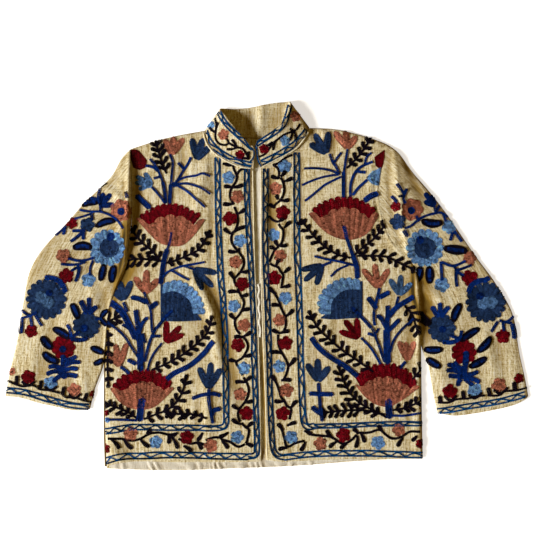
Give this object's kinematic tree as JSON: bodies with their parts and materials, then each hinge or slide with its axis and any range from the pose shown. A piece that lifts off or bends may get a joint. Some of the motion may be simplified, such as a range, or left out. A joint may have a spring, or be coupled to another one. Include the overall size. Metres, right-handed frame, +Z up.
{
  "type": "suzani jacket laid out flat",
  "caption": "Open-front embroidered cotton jacket with a standing collar and long sleeves, laid flat on its back.",
  "frame": {"origin": "on the surface the jacket lies on, under the middle of its bounding box", "axes": "+X to the wearer's left across the jacket, +Y from the hem to the collar, +Z up from the surface"},
  "size_m": [0.94, 0.6617, 0.0293],
  "materials": {
    "back": "slubby cream handloom cotton, matte",
    "lining_back": "plain whitish cotton lining, matte",
    "front_right": "slubby cream handloom cotton with chain-stitch embroidery, matte",
    "front_left": "slubby cream handloom cotton with chain-stitch embroidery, matte",
    "sleeve_right": "slubby cream handloom cotton with chain-stitch embroidery, matte",
    "sleeve_left": "slubby cream handloom cotton with chain-stitch embroidery, matte",
    "collar": "slubby cream handloom cotton with chain-stitch embroidery, matte"
  },
  "bodies": {
    "root": {"back": "back", "lining_back": "lining_back", "front_right": "front_right", "front_left": "front_left", "sleeve_right": "sleeve_right", "sleeve_left": "sleeve_left", "collar": "collar"}
  },
  "joints": []
}
